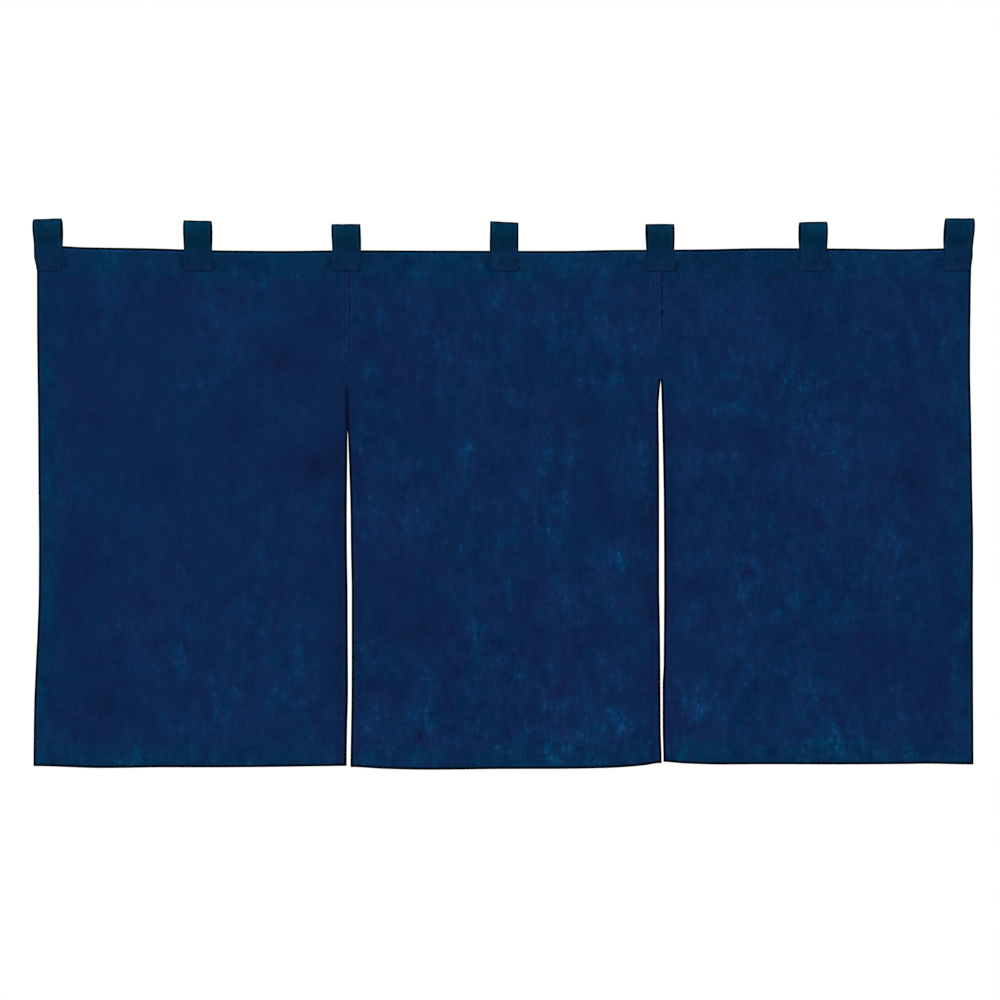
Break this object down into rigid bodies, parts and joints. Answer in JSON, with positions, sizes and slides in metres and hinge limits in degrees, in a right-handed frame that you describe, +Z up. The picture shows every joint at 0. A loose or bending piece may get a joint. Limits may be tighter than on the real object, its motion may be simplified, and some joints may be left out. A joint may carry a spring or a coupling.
{
  "type": "noren curtain",
  "caption": "Split doorway curtain of indigo slubbed cloth: wide panels sewn side by side at the top, open slits below, hemmed all round and hung by short cloth tab loops.",
  "frame": {"origin": "the top edge at mid width, in the middle of the cloth's thickness", "axes": "+X to the right along the top edge as seen from the front, +Y from the front to the back, +Z up; the front faces -Y"},
  "size_m": [1.0291, 0.0182, 0.6032],
  "materials": {
    "panel_cloth": "matte slubbed weave, dyed indigo with paler uneven patches",
    "tab_cloth": "matte slubbed weave, dyed dark indigo"
  },
  "bodies": {
    "root": {"panel_left": "panel_cloth", "panel_centre": "panel_cloth", "panel_right": "panel_cloth", "tab_1": "tab_cloth", "tab_2": "tab_cloth", "tab_3": "tab_cloth", "tab_4": "tab_cloth", "tab_5": "tab_cloth", "tab_6": "tab_cloth", "tab_7": "tab_cloth"}
  },
  "joints": []
}
